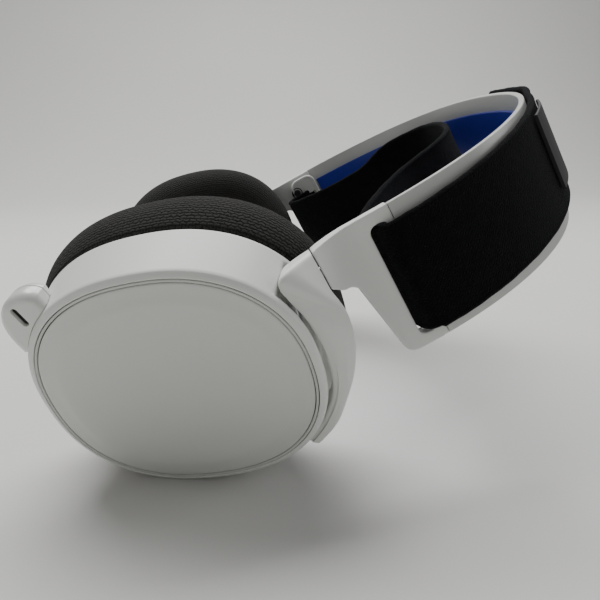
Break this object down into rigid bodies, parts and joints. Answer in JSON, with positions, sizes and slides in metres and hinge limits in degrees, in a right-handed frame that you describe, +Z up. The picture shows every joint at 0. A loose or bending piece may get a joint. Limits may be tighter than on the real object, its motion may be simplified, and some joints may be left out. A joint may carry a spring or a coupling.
{
  "type": "gaming headset",
  "caption": "Wireless over-ear headset with a metal band, ski-goggle strap, swivelling ear cups, knit cushions and a retractable microphone, lying on its back.",
  "frame": {"origin": "on the table under the middle of the lying headset's box", "axes": "+X from the ear cups towards the crown, +Y towards the wearer's right, +Z up from the table"},
  "size_m": [0.1868, 0.2198, 0.1168],
  "materials": {
    "shell_white": "satin white paint on spring steel",
    "plastic_white": "fine-textured white moulded plastic",
    "plate_white": "satin white moulded plate",
    "trim_grey": "satin light grey plastic",
    "mic_white": "gloss white plastic",
    "liner_blue": "satin royal blue plastic",
    "strap_black": "black brushed loop knit",
    "cushion_knit": "charcoal sports knit",
    "scrim_black": "thin black mesh cloth",
    "rubber_black": "satin black rubber",
    "plastic_black": "satin black plastic",
    "steel": "plain steel",
    "battery_wrap": "grey foil wrap",
    "board_green": "green solder mask"
  },
  "bodies": {
    "headband": {"headband_spring": "shell_white", "headband_liner": "liner_blue", "headband_strap": "strap_black", "strap_patch": "rubber_black", "end_piece_left": "plastic_white", "end_piece_right": "plastic_white", "end_cover_left": "trim_grey", "end_cover_right": "trim_grey", "end_screws": "steel"},
    "yoke_left": {"yoke_left": "plastic_white", "swivel_shaft_left": "steel", "tilt_pins_left": "steel"},
    "yoke_right": {"yoke_right": "plastic_white", "swivel_shaft_right": "steel", "tilt_pins_right": "steel"},
    "cup_left": {"cup_housing_left": "plastic_white", "trim_ring_left": "trim_grey", "speaker_plate_left": "plate_white", "baffle_left": "plastic_black", "driver_left": "plastic_black", "ear_cushion_left": "cushion_knit", "ear_scrim_left": "scrim_black", "baffle_screws_left": "steel", "main_board": "board_green", "mic_bush": "plastic_black", "volume_axle": "steel", "usb_socket": "steel", "audio_jack": "plastic_black"},
    "cup_right": {"cup_housing_right": "plastic_white", "trim_ring_right": "trim_grey", "speaker_plate_right": "plate_white", "baffle_right": "plastic_black", "driver_right": "plastic_black", "ear_cushion_right": "cushion_knit", "ear_scrim_right": "scrim_black", "baffle_screws_right": "steel", "power_board": "board_green", "battery": "battery_wrap", "balance_axle": "steel"},
    "mic": {"mic_boom": "plastic_black", "mic_head": "mic_white", "mic_port": "plastic_black"},
    "volume_wheel": {"volume_wheel": "plastic_black"},
    "mute_button": {"mute_button": "plastic_black"},
    "balance_wheel": {"balance_wheel": "plastic_black"},
    "power_button": {"power_button": "plastic_black"}
  },
  "joints": [
    {"name": "swivel_left", "type": "hinge", "parent": "headband", "child": "yoke_left", "pos_m": [-0.00976, -0.0948, 0.06589], "axis": [0.8829, 0, 0.4695], "range_deg": [-85, 4]},
    {"name": "tilt_left", "type": "hinge", "parent": "yoke_left", "child": "cup_left", "pos_m": [-0.01447, -0.09663, 0.04132], "axis": [-0.157, -0.3089, 0.9381], "range_deg": [-3, 10]},
    {"name": "swivel_right", "type": "hinge", "parent": "headband", "child": "yoke_right", "pos_m": [-0.00976, 0.0948, 0.06589], "axis": [-0.8829, 0, -0.4695], "range_deg": [-85, 4]},
    {"name": "tilt_right", "type": "hinge", "parent": "yoke_right", "child": "cup_right", "pos_m": [-0.01447, 0.09663, 0.04132], "axis": [0.157, -0.3089, -0.9381], "range_deg": [-3, 10]},
    {"name": "mic_slide", "type": "slide", "parent": "cup_left", "child": "mic", "axis": [-0.8976, 0.0081, 0.4408], "range_m": [0, 0.048]},
    {"name": "volume_turn", "type": "hinge", "parent": "cup_left", "child": "volume_wheel", "pos_m": [-0.03606, -0.078, 0.00976], "axis": [-0.1724, -0.9267, -0.334], "range_deg": [-135, 135]},
    {"name": "balance_turn", "type": "hinge", "parent": "cup_right", "child": "balance_wheel", "pos_m": [-0.03606, 0.078, 0.00976], "axis": [-0.1724, 0.9267, -0.334], "range_deg": [-135, 135]},
    {"name": "mute_press", "type": "slide", "parent": "cup_left", "child": "mute_button", "axis": [0.5412, -0.3724, 0.7539], "range_m": [0, 0.0008], "stiffness_N_per_m": 900, "springref_m": -0.0004},
    {"name": "power_press", "type": "slide", "parent": "cup_right", "child": "power_button", "axis": [0.5412, 0.3724, 0.7539], "range_m": [0, 0.0008], "stiffness_N_per_m": 900, "springref_m": -0.0004}
  ]
}
